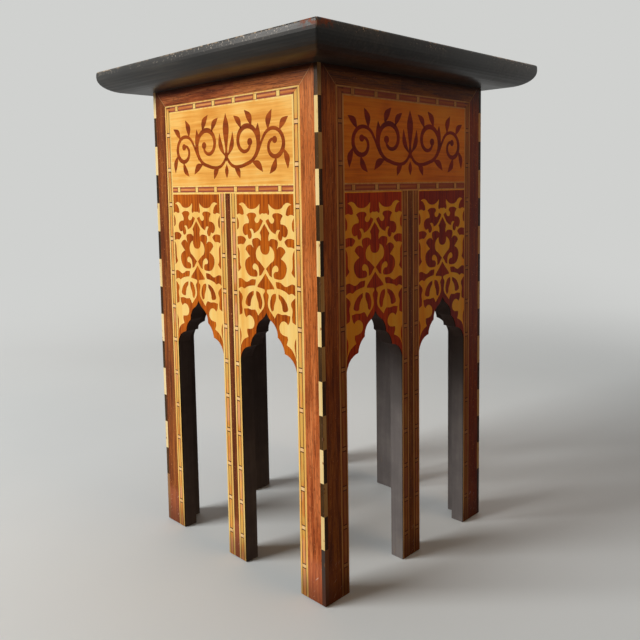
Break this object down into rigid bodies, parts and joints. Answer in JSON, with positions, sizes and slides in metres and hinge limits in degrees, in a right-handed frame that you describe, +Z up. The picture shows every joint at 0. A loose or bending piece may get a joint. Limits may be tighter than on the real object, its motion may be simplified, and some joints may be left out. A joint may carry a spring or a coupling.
{
  "type": "drinks table",
  "caption": "Square drinks table with an overhanging moulded top on an open box base of inlaid boards with cusped ogee arches.",
  "frame": {"origin": "centre of the base at floor level", "axes": "+Z up, X and Y square to the four faces"},
  "size_m": [0.35, 0.35, 0.52],
  "materials": {
    "ebonised": "worn satin black polish",
    "mahogany": "polished",
    "boxwood": "polished",
    "stringing": "polished",
    "satinwood": "polished",
    "holly": "polished",
    "ebony": "polished",
    "pine": "sawn, unfinished"
  },
  "bodies": {
    "root": {"border_banding_back": "mahogany", "border_banding_front": "mahogany", "border_banding_left": "mahogany", "border_banding_right": "mahogany", "chequer_dark_back": "ebony", "chequer_dark_front": "ebony", "chequer_dark_left": "ebony", "chequer_dark_right": "ebony", "chequer_light_back": "holly", "chequer_light_front": "holly", "chequer_light_left": "holly", "chequer_light_right": "holly", "corner_block_back": "pine", "corner_block_front": "pine", "corner_block_left": "pine", "corner_block_right": "pine", "frieze_panel_back": "satinwood", "frieze_panel_front": "satinwood", "frieze_panel_left": "satinwood", "frieze_panel_right": "satinwood", "side_board_back": "ebonised", "side_board_front": "ebonised", "side_board_left": "ebonised", "side_board_right": "ebonised", "spandrel_arabesque_back": "satinwood", "spandrel_arabesque_front": "satinwood", "spandrel_arabesque_left": "satinwood", "spandrel_arabesque_right": "satinwood", "spandrel_ground_back": "mahogany", "spandrel_ground_front": "mahogany", "spandrel_ground_left": "mahogany", "spandrel_ground_right": "mahogany", "string_cores_back": "stringing", "string_cores_front": "stringing", "string_cores_left": "stringing", "string_cores_right": "stringing", "string_lines_back": "boxwood", "string_lines_front": "boxwood", "string_lines_left": "boxwood", "string_lines_right": "boxwood", "top_board": "ebonised", "top_cleat_back": "pine", "top_cleat_front": "pine", "top_cleat_left": "pine", "top_cleat_right": "pine"}
  },
  "joints": []
}
